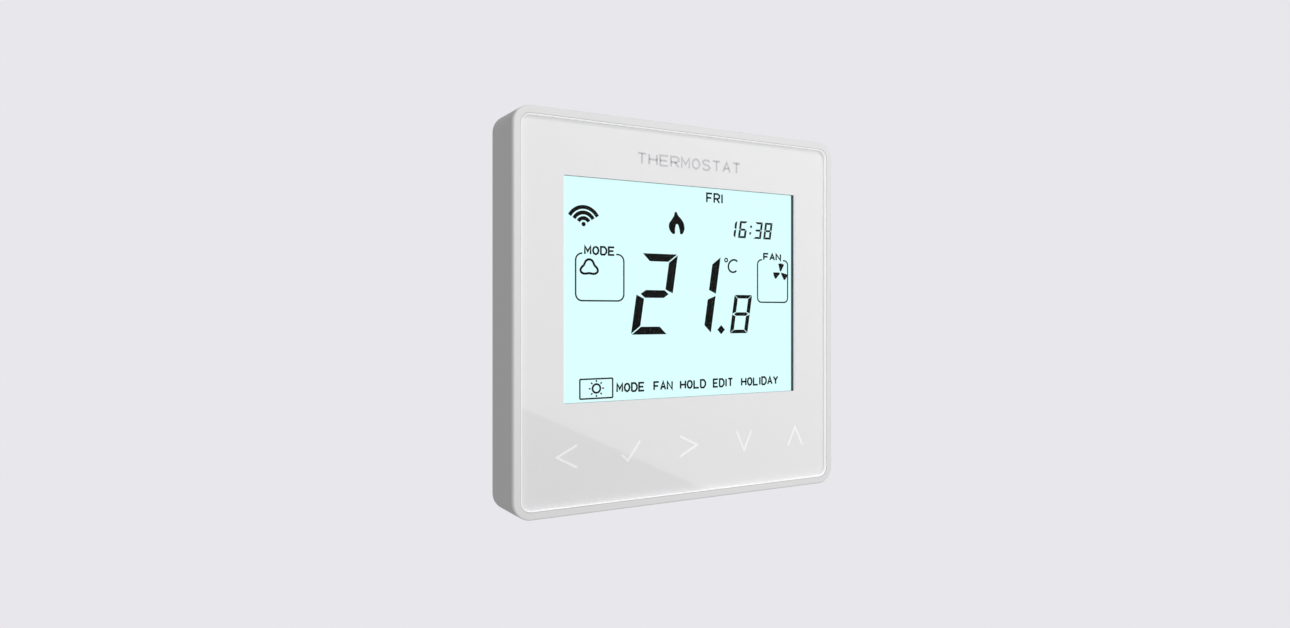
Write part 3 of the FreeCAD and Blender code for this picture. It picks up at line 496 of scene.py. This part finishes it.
def plates(shapes, front, back):
    """Flat shapes in the XZ plane, each a list of (x, z) corners in mm, as closed thin plates."""
    solid = bmesh.new()
    for corners in shapes:
        near = [solid.verts.new((x * MM, front, z * MM)) for x, z in corners]
        far = [solid.verts.new((x * MM, back, z * MM)) for x, z in corners]
        solid.faces.new(near)
        solid.faces.new(far[::-1])
        for index in range(len(corners)):
            after = (index + 1) % len(corners)
            solid.faces.new((near[index], near[after], far[after], far[index]))
    bmesh.ops.recalc_face_normals(solid, faces=solid.faces)
    mesh = bpy.data.meshes.new("plates")
    solid.to_mesh(mesh)
    solid.free()
    return mesh


def arc(x, z, radius, start, end, steps=16):
    """Points along an arc, with its angles in degrees from +X towards +Z."""
    angles = [math.radians(start + (end - start) * index / steps) for index in range(steps + 1)]
    return [(x + radius * math.cos(angle), z + radius * math.sin(angle)) for angle in angles]


def stroke(points, line, closed=False):
    """A line of even thickness through points, as a four-cornered shape for each run."""
    count = len(points)
    runs = [(points[i], points[(i + 1) % count]) for i in range(count if closed else count - 1)]
    normals = []
    for (ax, az), (bx, bz) in runs:
        length = math.hypot(bx - ax, bz - az)
        normals.append(((az - bz) / length, (bx - ax) / length))
    offsets = []
    for index in range(count):
        if closed:
            before, after = normals[index - 1], normals[index % len(normals)]
        else:
            before = normals[max(index - 1, 0)]
            after = normals[min(index, len(normals) - 1)]
        nx, nz = before[0] + after[0], before[1] + after[1]
        size = math.hypot(nx, nz)
        reach = min(line / size, line)
        offsets.append((nx / size * reach, nz / size * reach))
    shapes = []
    for index in range(len(runs)):
        after = (index + 1) % count
        corners = []
        for place, way in ((index, 1), (after, 1), (after, -1), (index, -1)):
            (x, z), (out_x, out_z) = points[place], offsets[place]
            corners.append((x + way * out_x, z + way * out_z))
        shapes.append(corners)
    return shapes


def digit(lit, x, z, wide, tall, thick, stem, gap, lean=0.157):
    """A seven-segment digit from its lower left corner. lit names its segments, from a to g.

    thick is the height of its level segments and stem the width of its upright ones, in mm.
    """
    middle = tall / 2
    half = thick / 2
    inner = wide - stem
    upper = tall - gap - thick
    segments = {
        "a": [(gap, tall), (wide - gap, tall), (inner - gap, tall - thick), (stem + gap, tall - thick)],
        "b": [(wide, tall - gap), (wide, middle + gap), (inner, middle + gap + half), (inner, upper)],
        "c": [(wide, gap), (wide, middle - gap), (inner, middle - gap - half), (inner, gap + thick)],
        "d": [(gap, 0), (wide - gap, 0), (inner - gap, thick), (stem + gap, thick)],
        "e": [(0, gap), (0, middle - gap), (stem, middle - gap - half), (stem, gap + thick)],
        "f": [(0, tall - gap), (0, middle + gap), (stem, middle + gap + half), (stem, upper)],
        "g": [
            (half + gap, middle),
            (stem + gap, middle + half),
            (inner - gap, middle + half),
            (wide - half - gap, middle),
            (inner - gap, middle - half),
            (stem + gap, middle - half),
        ],
    }
    return [[(x + sx + lean * sz, z + sz) for sx, sz in segments[name]] for name in lit]


def round_box(left, low, right, high, radius):
    """The corners of a box with rounded corners, from its lower left and on towards the right."""
    return (
        arc(left + radius, low + radius, radius, 180, 270, 5)
        + arc(right - radius, low + radius, radius, 270, 360, 5)
        + arc(right - radius, high - radius, radius, 0, 90, 5)
        + arc(left + radius, high - radius, radius, 90, 180, 5)
    )


def open_box(left, low, right, high, radius, gap_left, gap_right):
    """The same box with its top line open from gap_left to gap_right."""
    return (
        [(gap_left, high)]
        + arc(left + radius, high - radius, radius, 90, 180, 5)
        + arc(left + radius, low + radius, radius, 180, 270, 5)
        + arc(right - radius, low + radius, radius, 270, 360, 5)
        + arc(right - radius, high - radius, radius, 0, 90, 5)
        + [(gap_right, high)]
    )


# Plain capitals as strokes in a square one unit across.
CAPITALS = {
    "A": [[(0, 0), (0.5, 1), (1, 0)], [(0.2, 0.35), (0.8, 0.35)]],
    "D": [[(0, 0), (0, 1), (0.65, 1), (1, 0.7), (1, 0.3), (0.65, 0), (0, 0)]],
    "E": [[(1, 1), (0, 1), (0, 0), (1, 0)], [(0, 0.5), (0.85, 0.5)]],
    "F": [[(1, 1), (0, 1), (0, 0)], [(0, 0.5), (0.85, 0.5)]],
    "H": [[(0, 0), (0, 1)], [(1, 0), (1, 1)], [(0, 0.5), (1, 0.5)]],
    "I": [[(0.5, 0), (0.5, 1)]],
    "L": [[(0, 1), (0, 0), (1, 0)]],
    "M": [[(0, 0), (0, 1), (0.5, 0.35), (1, 1), (1, 0)]],
    "N": [[(0, 0), (0, 1), (1, 0), (1, 1)]],
    "O": [
        [(0.5, 1), (0.15, 0.85), (0, 0.5), (0.15, 0.15), (0.5, 0)]
        + [(0.85, 0.15), (1, 0.5), (0.85, 0.85), (0.5, 1)],
    ],
    "R": [[(0, 0), (0, 1), (0.7, 1), (1, 0.85), (1, 0.6), (0.7, 0.45), (0, 0.45)], [(0.5, 0.45), (1, 0)]],
    "S": [
        [(0.95, 0.85), (0.7, 1), (0.25, 1), (0, 0.78), (0.2, 0.56)]
        + [(0.8, 0.46), (1, 0.24), (0.75, 0), (0.25, 0), (0, 0.15)],
    ],
    "T": [[(0, 1), (1, 1)], [(0.5, 1), (0.5, 0)]],
    "Y": [[(0, 1), (0.5, 0.5), (1, 1)], [(0.5, 0.5), (0.5, 0)]],
}
LETTER_GAP = 0.42  # between letters, as a share of a letter's width
NARROW = 0.2  # the width of the letter I, as a share of any other


def lettering(text, left, low, right, high, line):
    """Capitals of one stroke width, fitted to a box in mm."""
    shares = [NARROW if letter == "I" else 1.0 for letter in text]
    room = right - left - line
    width = room / (sum(shares) + LETTER_GAP * (len(text) - 1))
    x = left + line / 2
    shapes = []
    for letter, share in zip(text, shares):
        for points in CAPITALS[letter]:
            tall = high - low - line
            placed = [(x + u * share * width, low + line / 2 + v * tall) for u, v in points]
            shapes += stroke(placed, line)
        x += (share + LETTER_GAP) * width
    return shapes


def smooth_shape(loops, front, back):
    """Smooth closed outlines through points in mm, filled, with any inner loop left open."""
    curve = bpy.data.curves.new("outline", "CURVE")
    curve.dimensions = "2D"
    curve.fill_mode = "BOTH"
    curve.extrude = 0.5
    curve.resolution_u = 6
    for loop in loops:
        spline = curve.splines.new("BEZIER")
        spline.bezier_points.add(len(loop) - 1)
        spline.use_cyclic_u = True
        for point, (x, z) in zip(spline.bezier_points, loop):
            point.co = (x, z, 0)
            point.handle_left_type = "AUTO"
            point.handle_right_type = "AUTO"
    holder = bpy.data.objects.new("outline", curve)
    bpy.context.scene.collection.objects.link(holder)
    graph = bpy.context.evaluated_depsgraph_get()
    mesh = bpy.data.meshes.new_from_object(holder.evaluated_get(graph))
    bpy.data.objects.remove(holder)
    for v in mesh.vertices:
        across, up, out = v.co
        v.co = (across * MM, front if out > 0 else back, up * MM)
    return mesh


PRINT_THICK = 0.03
film_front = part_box("lcd_front_polariser")[0].y
segment_front = film_front - PRINT_THICK * MM


def dark(name, colour):
    """Darkened liquid crystal, as dull as the film over it."""
    material = moulded(name, colour, 0.6, 0.3, 0.001)
    material.node_tree.nodes["Principled BSDF"].inputs["Specular IOR Level"].default_value = 0.1
    return material


def shown(name, mesh, material):
    """Something that the display shows."""
    return piece(name, mesh, material, "front_half")


# Broad segments are near black; fine lines are a lighter grey-cyan, painted light from the backlight.
crystal = dark("darkened_crystal", "#030404")
fine_crystal_painted_light = dark("fine_darkened_crystal_painted_light", "#161B1C")

# Whole degrees with their decimal point, and smaller tenths of a degree.
degrees = digit("abged", -14.4, -4.9, 9.5, 18.3, 1.75, 2.1, 0.2)
degrees += digit("bc", -2.4, -4.9, 9.5, 18.3, 1.75, 2.1, 0.25)
degrees.append([(9.0, -4.0), (10.1, -2.9), (11.2, -4.0), (10.1, -5.1)])
shown("display_degrees", plates(degrees, segment_front, film_front), crystal)
tenths = digit("abcdefg", 12.6, -4.9, 5.2, 9.2, 0.85, 1.05, 0.1)
shown("display_tenths", plates(tenths, segment_front, film_front), crystal)

# The time, with a leaning colon.
CLOCK_LOW = 18.0
COLON_DOT = ((0, 0), (0.55, 0), (0.65, 0.55), (0.1, 0.55))
clock = []
for lit, x in (("bc", 11.9), ("acdefg", 15.0), ("abcdg", 19.6), ("abcdefg", 22.6)):
    clock += digit(lit, x, CLOCK_LOW, 2.3, 4.1, 0.5, 0.6, 0.03)
for x, z in ((18.35, 1.0), (18.6, 2.6)):
    clock.append([(x + sx, CLOCK_LOW + z + sz) for sx, sz in COLON_DOT])
shown("display_clock", plates(clock, segment_front, film_front), fine_crystal_painted_light)

# Frames round the mode, the fan speed and the sun.
FRAME_LINE = 0.34
frames = stroke(open_box(-28.0, 2.6, -16.2, 12.85, 1.5, -26.4, -18.1), FRAME_LINE)
frames += stroke(open_box(20.9, 2.6, 30.25, 12.95, 1.1, 22.3, 28.8), FRAME_LINE)
frames += stroke(round_box(-27.0, -18.65, -19.0, -14.4, 0.2), FRAME_LINE, closed=True)
shown("display_frames", plates(frames, segment_front, film_front), fine_crystal_painted_light)

# Wireless waves over their dot.
SIGN_LINE = 0.42
signs = []
for radius in (1.45, 2.65, 3.85):
    signs += stroke(arc(-26.1, 19.0, radius, 30, 150, 14), 0.85)
signs.append(arc(-26.1, 19.15, 0.5, 0, 345, 11))

# A sun with eight rays.
sun_x, sun_z = -23.0, -16.5
signs += stroke(arc(sun_x, sun_z, 0.95, 0, 345, 23), SIGN_LINE, closed=True)
for turn in range(0, 360, 45):
    ray_x, ray_z = math.cos(math.radians(turn)), math.sin(math.radians(turn))
    ray = [(sun_x + reach * ray_x, sun_z + reach * ray_z) for reach in (1.4, 1.85)]
    signs += stroke(ray, 0.32)

# The degree ring and a leaning C.
signs += stroke(arc(11.55, 12.55, 0.42, 0, 345, 11), 0.3, closed=True)
signs += stroke([(x + 0.12 * (z - 11.2), z) for x, z in arc(13.7, 11.2, 1.5, 48, 312, 16)], SIGN_LINE)

# A fan with three blades.
FAN_X, FAN_Z = 28.0, 10.0
for turn in (90, 210, 330):
    blade = arc(0, 0, 2.25, turn - 30, turn + 18, 6) + arc(0, 0, 0.3, turn + 30, turn - 30, 2)
    signs.append([(FAN_X + x, FAN_Z + z) for x, z in blade])

# The mode sign: a round outline with three lobes.
DOME_STEPS = 36
dome = []
for index in range(DOME_STEPS):
    turn = 2 * math.pi * index / DOME_STEPS
    reach = 1 + 0.22 * math.cos(3 * (turn - math.pi / 2))
    dome.append((-24.75 + 1.87 * reach * math.cos(turn), 9.75 + 1.5 * reach * math.sin(turn)))
signs += stroke(dome, 0.5, closed=True)
shown("display_signs", plates(signs, segment_front, film_front), crystal)

# A flame with an open foot.
flame = [
    (-2.65, 23.2),
    (-1.9, 22.3),
    (-1.1, 21.6),
    (-0.3, 20.2),
    (-0.5, 18.6),
    (-1.2, 18.1),
    (-1.6, 19.2),
    (-2.3, 20.4),
    (-2.8, 19.2),
    (-3.0, 18.1),
    (-4.0, 18.6),
    (-4.45, 20.2),
    (-3.6, 21.5),
    (-3.1, 22.3),
]
shown("display_flame", smooth_shape([flame], segment_front, film_front), crystal)

# The weekday, the names of the two open frames, and the five words of the menu.
words = []
for text, left, low, right, high in (
    ("FRI", 5.8, 25.8, 10.7, 28.3),
    ("MODE", -26.0, 12.5, -18.4, 14.6),
    ("FAN", 22.6, 12.8, 28.2, 14.7),
    ("MODE", -18.1, -17.7, -10.8, -15.5),
    ("FAN", -8.6, -17.7, -3.4, -15.5),
    ("HOLD", -1.5, -17.7, 5.8, -15.5),
    ("EDIT", 7.7, -17.7, 13.6, -15.5),
    ("HOLIDAY", 15.9, -17.7, 27.3, -15.5),
):
    words += lettering(text, left, low, right, high, SIGN_LINE)
shown("display_words", plates(words, segment_front, film_front), crystal)

# ---------------------------------------------------------------- front bezel
# The white frame: a thin, bright rim round the panel, and the deck behind it that carries the panel
# and the display. It is moulded in one piece, and its tabs snap into the shell, whose grey is painted shade.

# Moulded ABS: white, even and half-gloss.
white_abs = moulded("moulded_abs_white", "#DCDCDC", 0.35, 0.5, 0.001, spread=0.006)
wear(white_abs, "front_bezel")

# ---------------------------------------------------------------- printing behind the panel
# White ink on the back of the panel, with five touch key signs in a lighter white and one word in
# pale grey, printed before the white so that they show in front of it.

# Screen-printed ink: an even white, quite flat.
white_ink = moulded("screen_printed_white", "#E4E4E5", 0.5, 0.2, 0.0002, spread=0.004)
wear(white_ink, "lens_print")
print_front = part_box("lens_print")[0].y
mark_front = print_front - PRINT_THICK * MM

# A second ink, whiter than the ground, for the key signs.
key_ink = moulded("key_ink_white", "#F8F8F8", 0.5, 0.2, 0.0003, spread=0.002)
KEY_LINE = 0.5
KEY_ROW_Z = -30.6
keys = []
for centre, corners in (
    (-30.6, ((2.4, 2.3), (-2.3, 0.0), (2.4, -2.5))),
    (-15.1, ((-2.3, -0.6), (-0.7, -2.1), (2.4, 2.1))),
    (0.2, ((-2.3, 2.3), (2.3, 0.0), (-2.3, -2.3))),
    (16.0, ((-2.2, 2.3), (0.0, -2.3), (2.2, 2.3))),
    (31.7, ((-2.3, -2.3), (0.0, 2.3), (2.3, -2.3))),
):
    keys += stroke([(centre + x, KEY_ROW_Z + z) for x, z in corners], KEY_LINE)
piece("key_signs", plates(keys, mark_front, print_front), key_ink, "front_half")

# A third ink, pale grey, for the one word over the display.
name_ink = moulded("pale_grey_ink", "#BEBEC1", 0.5, 0.2, 0.0003, spread=0.002)
panel_word = lettering("THERMOSTAT", -13.4, 33.1, 15.0, 35.8, SIGN_LINE)
piece("panel_name", plates(panel_word, mark_front, print_front), name_ink, "front_half")

# ---------------------------------------------------------------- panel
# Clear acrylic with a softened front edge, bonded into the rim with a fine seam round it. It is
# polished, so the studio light lies across it.


def loops(solid, profile, outer, corner):
    """Rounded squares, one for each (half size, depth) of a profile in mm. corner is the radius
    of the outermost one."""
    made = []
    for half, y in profile:
        corners = round_box(-half, -half, half, half, corner - (outer - half))
        made.append([solid.verts.new((x * MM, y * MM, z * MM)) for x, z in corners])
    return made


def skin(solid, rings):
    """Faces between each ring of points and the next."""
    for near, far in zip(rings, rings[1:]):
        for index in range(len(near)):
            after = (index + 1) % len(near)
            solid.faces.new((near[index], near[after], far[after], far[index]))


def finished(solid):
    """The mesh of a closed shape, with its faces turned outwards."""
    bmesh.ops.recalc_face_normals(solid, faces=solid.faces)
    mesh = bpy.data.meshes.new("shape")
    solid.to_mesh(mesh)
    solid.free()
    return mesh


def slab(profile, outer, corner):
    """A solid rounded square with this edge profile, from its front to its back."""
    solid = bmesh.new()
    rings = loops(solid, profile, outer, corner)
    skin(solid, rings)
    solid.faces.new(rings[0])
    solid.faces.new(rings[-1][::-1])
    return finished(solid)


def band(profile, outer, corner):
    """A closed ring that runs round a rounded square with this cross-section."""
    solid = bmesh.new()
    rings = loops(solid, profile, outer, corner)
    skin(solid, rings + rings[:1])
    return finished(solid)


# Polished acrylic: clear, with a mirror gloss on its outer faces only. Over the display it has an
# anti-glare coat, so that the digits keep their black there.
GLARE_LEFT = 0.05  # the share of the mirror gloss that the coat leaves
COAT_MARGIN = 1.6  # from the film's outline in to the coat's
acrylic, tree = new_material("polished_acrylic")
gloss = add(tree, "ShaderNodeBsdfGlossy", {"Roughness": 0.03})
through = add(tree, "ShaderNodeBsdfTransparent")
place = add(tree, "ShaderNodeTexCoord").outputs["Object"]
wave = add(tree, "ShaderNodeTexNoise", {"Vector": place, "Scale": 1 / (30.0 * MM)})
relief = add(tree, "ShaderNodeBump", {"Height": wave.outputs["Fac"], "Distance": 0.02 * MM})
tree.links.new(relief.outputs["Normal"], gloss.inputs["Normal"])
facing = add(tree, "ShaderNodeFresnel", {"IOR": 1.49}).outputs["Fac"]
inner_face = add(tree, "ShaderNodeNewGeometry").outputs["Backfacing"]
outer_face = add(tree, "ShaderNodeMath", {0: 1.0, 1: inner_face}, operation="SUBTRACT")
mirror = add(tree, "ShaderNodeMath", {0: facing, 1: outer_face.outputs["Value"]}, operation="MULTIPLY")
window_low, window_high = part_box("lcd_front_polariser")
window = (window_low + window_high) / 2
split = add(tree, "ShaderNodeSeparateXYZ", {"Vector": place})
inside = []
for axis, middle, reach in (
    ("X", window.x, window_high.x - COAT_MARGIN * MM - window.x),
    ("Z", window.z, window_high.z - COAT_MARGIN * MM - window.z),
):
    offset = add(tree, "ShaderNodeMath", {0: split.outputs[axis], 1: middle}, operation="SUBTRACT")
    away = add(tree, "ShaderNodeMath", {0: offset.outputs["Value"]}, operation="ABSOLUTE")
    within = add(tree, "ShaderNodeMath", {0: away.outputs["Value"], 1: reach}, operation="LESS_THAN")
    inside.append(within.outputs["Value"])
coated = add(tree, "ShaderNodeMath", {0: inside[0], 1: inside[1]}, operation="MULTIPLY")
dimmed = add(tree, "ShaderNodeMapRange", {"Value": coated.outputs["Value"]})
dimmed.inputs["To Min"].default_value = 1.0
dimmed.inputs["To Max"].default_value = GLARE_LEFT
share = add(tree, "ShaderNodeMath", operation="MULTIPLY")
tree.links.new(mirror.outputs["Value"], share.inputs[0])
tree.links.new(dimmed.outputs["Result"], share.inputs[1])
mixed = add(tree, "ShaderNodeMixShader", {0: share.outputs["Value"], 1: through.outputs["BSDF"]})
tree.links.new(gloss.outputs["BSDF"], mixed.inputs[2])
add(tree, "ShaderNodeOutputMaterial", {"Surface": mixed.outputs["Shader"]})

CORNER = 2.25
EDGE = 0.08  # the radius of its softened front edge
LINER = 0.1  # the ink on its cut edge
FIT = 0.01  # clearance that keeps two pieces from sharing a face
lens_low, lens_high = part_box("front_lens")
panel_half = lens_high.x / MM
panel_front = lens_low.y / MM
panel_back = print_front / MM - 0.04
cut_edge = panel_half - LINER - FIT
edge_profile = []
for turn in (0, 30, 60, 90):
    angle = math.radians(turn)
    inset = LINER + FIT + EDGE * (1 - math.sin(angle))
    edge_profile.append((panel_half - inset, panel_front + EDGE * (1 - math.cos(angle))))
edge_profile.append((cut_edge, panel_back))
panel = piece("panel", slab(edge_profile, panel_half, CORNER), acrylic, "front_half")
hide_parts("front_lens")

# The white ink goes on up the panel's cut edge. It glows a little: painted light, an emission that
# stands in for the light that the acrylic gathers there.
PAINTED_EDGE_LIGHT = 0.45
edge_white_painted_light = moulded("screen_printed_white_edge_painted_light", "#E4E4E5", 0.5, 0.2, 0.0002, spread=0.004)
painted_light_shader = edge_white_painted_light.node_tree.nodes["Principled BSDF"]
painted_light_shader.inputs["Emission Color"].default_value = linear("#E4E4E5")
painted_light_shader.inputs["Emission Strength"].default_value = PAINTED_EDGE_LIGHT
ink_front = panel_front + 0.02
ink_back = panel_back + 0.03
ink_inner = panel_half - LINER
edge_ink = [(panel_half, ink_front), (panel_half, ink_back), (ink_inner, ink_back), (ink_inner, ink_front)]
piece("panel_edge_ink", band(edge_ink, panel_half, CORNER), edge_white_painted_light, "front_half")

# Silicone: a soft pale grey bead that fills the seam between panel and rim.
SEAM = 0.14
BEAD_BACK = -12.3
silicone = moulded("seam_silicone", "#C6C6C7", 0.6, 0.4, 0.002)
bead_front = panel_front - 0.03
bead_outer = panel_half + SEAM
bead_inner = panel_half + FIT
bead = [(bead_outer, bead_front), (bead_outer, BEAD_BACK), (bead_inner, BEAD_BACK), (bead_inner, bead_front)]
piece("panel_seal", band(bead, bead_outer, CORNER + SEAM), silicone, "front_half")

# ---------------------------------------------------------------- studio
# A pale floor that runs into an equally pale backdrop, one broad soft light in front and to the
# upper right, and a weaker light from all round.
BACKDROP = "#E8E7EC"
WHITE = (1.0, 1.0, 1.0, 1.0)
world = bpy.data.worlds.new("studio")
bpy.context.scene.world = world
world.use_nodes = True
tree = world.node_tree
tree.nodes.clear()
seen = add(tree, "ShaderNodeLightPath").outputs["Is Camera Ray"]
ambient = add(tree, "ShaderNodeBackground", {"Color": WHITE, "Strength": 0.56})
backdrop = add(tree, "ShaderNodeBackground", {"Color": linear(BACKDROP), "Strength": 1.0})
sky = add(tree, "ShaderNodeMixShader", {0: seen, 1: ambient.outputs["Background"]})
tree.links.new(backdrop.outputs["Background"], sky.inputs[2])
add(tree, "ShaderNodeOutputWorld", {"Surface": sky.outputs["Shader"]})

FLOOR_REACH = 3.0
FLOOR_Z = -0.5
floor_corners = [(x * FLOOR_REACH, y * FLOOR_REACH, FLOOR_Z) for x, y in ((-1, -1), (1, -1), (1, 1), (-1, 1))]
floor_mesh = bpy.data.meshes.new("floor")
floor_mesh.from_pydata(floor_corners, [], [(0, 1, 2, 3)])
floor = bpy.data.objects.new("floor", floor_mesh)
bpy.context.scene.collection.objects.link(floor)
floor_paint, tree = new_material("floor_paint")
seen = add(tree, "ShaderNodeLightPath").outputs["Is Camera Ray"]
dim = add(tree, "ShaderNodeEmission", {"Color": WHITE, "Strength": 0.5})
plain = add(tree, "ShaderNodeEmission", {"Color": linear(BACKDROP), "Strength": 1.0})
mixed = add(tree, "ShaderNodeMixShader", {0: seen, 1: dim.outputs["Emission"], 2: plain.outputs["Emission"]})
add(tree, "ShaderNodeOutputMaterial", {"Surface": mixed.outputs["Shader"]})
floor_mesh.materials.append(floor_paint)


def soft_light(name, across, up, power, place, turn):
    """A rectangular area light facing the front of the object, turned in its own plane."""
    light = bpy.data.lights.new(name, "AREA")
    light.shape = "RECTANGLE"
    light.size = across
    light.size_y = up
    light.energy = power
    lamp = bpy.data.objects.new(name, light)
    bpy.context.scene.collection.objects.link(lamp)
    upright = Matrix.Rotation(math.radians(90), 4, "X")
    turned = Matrix.Rotation(math.radians(turn), 4, "Z")
    lamp.matrix_world = Matrix.Translation(place) @ upright @ turned
    return lamp


soft_light("soft_box", 1.2, 0.8, 5.4, (0.70, -1.0, 0.144), -25.2)
# A small lamp above brightens the rim, and is kept out of the panel's reflections.
near_light = soft_light("near_light", 0.2, 0.2, 1.5, (0.12, -0.42, 0.45), 0)
near_light.visible_glossy = False

camera = bpy.data.cameras.new("camera")
camera.lens = 23.76
camera.sensor_width = 36.0
camera.clip_start = 0.01
viewer = bpy.data.objects.new("camera", camera)
bpy.context.scene.collection.objects.link(viewer)
viewer.location = (-0.10667, -0.17695, -0.00028)
viewer.rotation_euler = (math.radians(90), 0, math.radians(-30.03))
bpy.context.scene.camera = viewer
bpy.context.scene.view_settings.view_transform = "Standard"
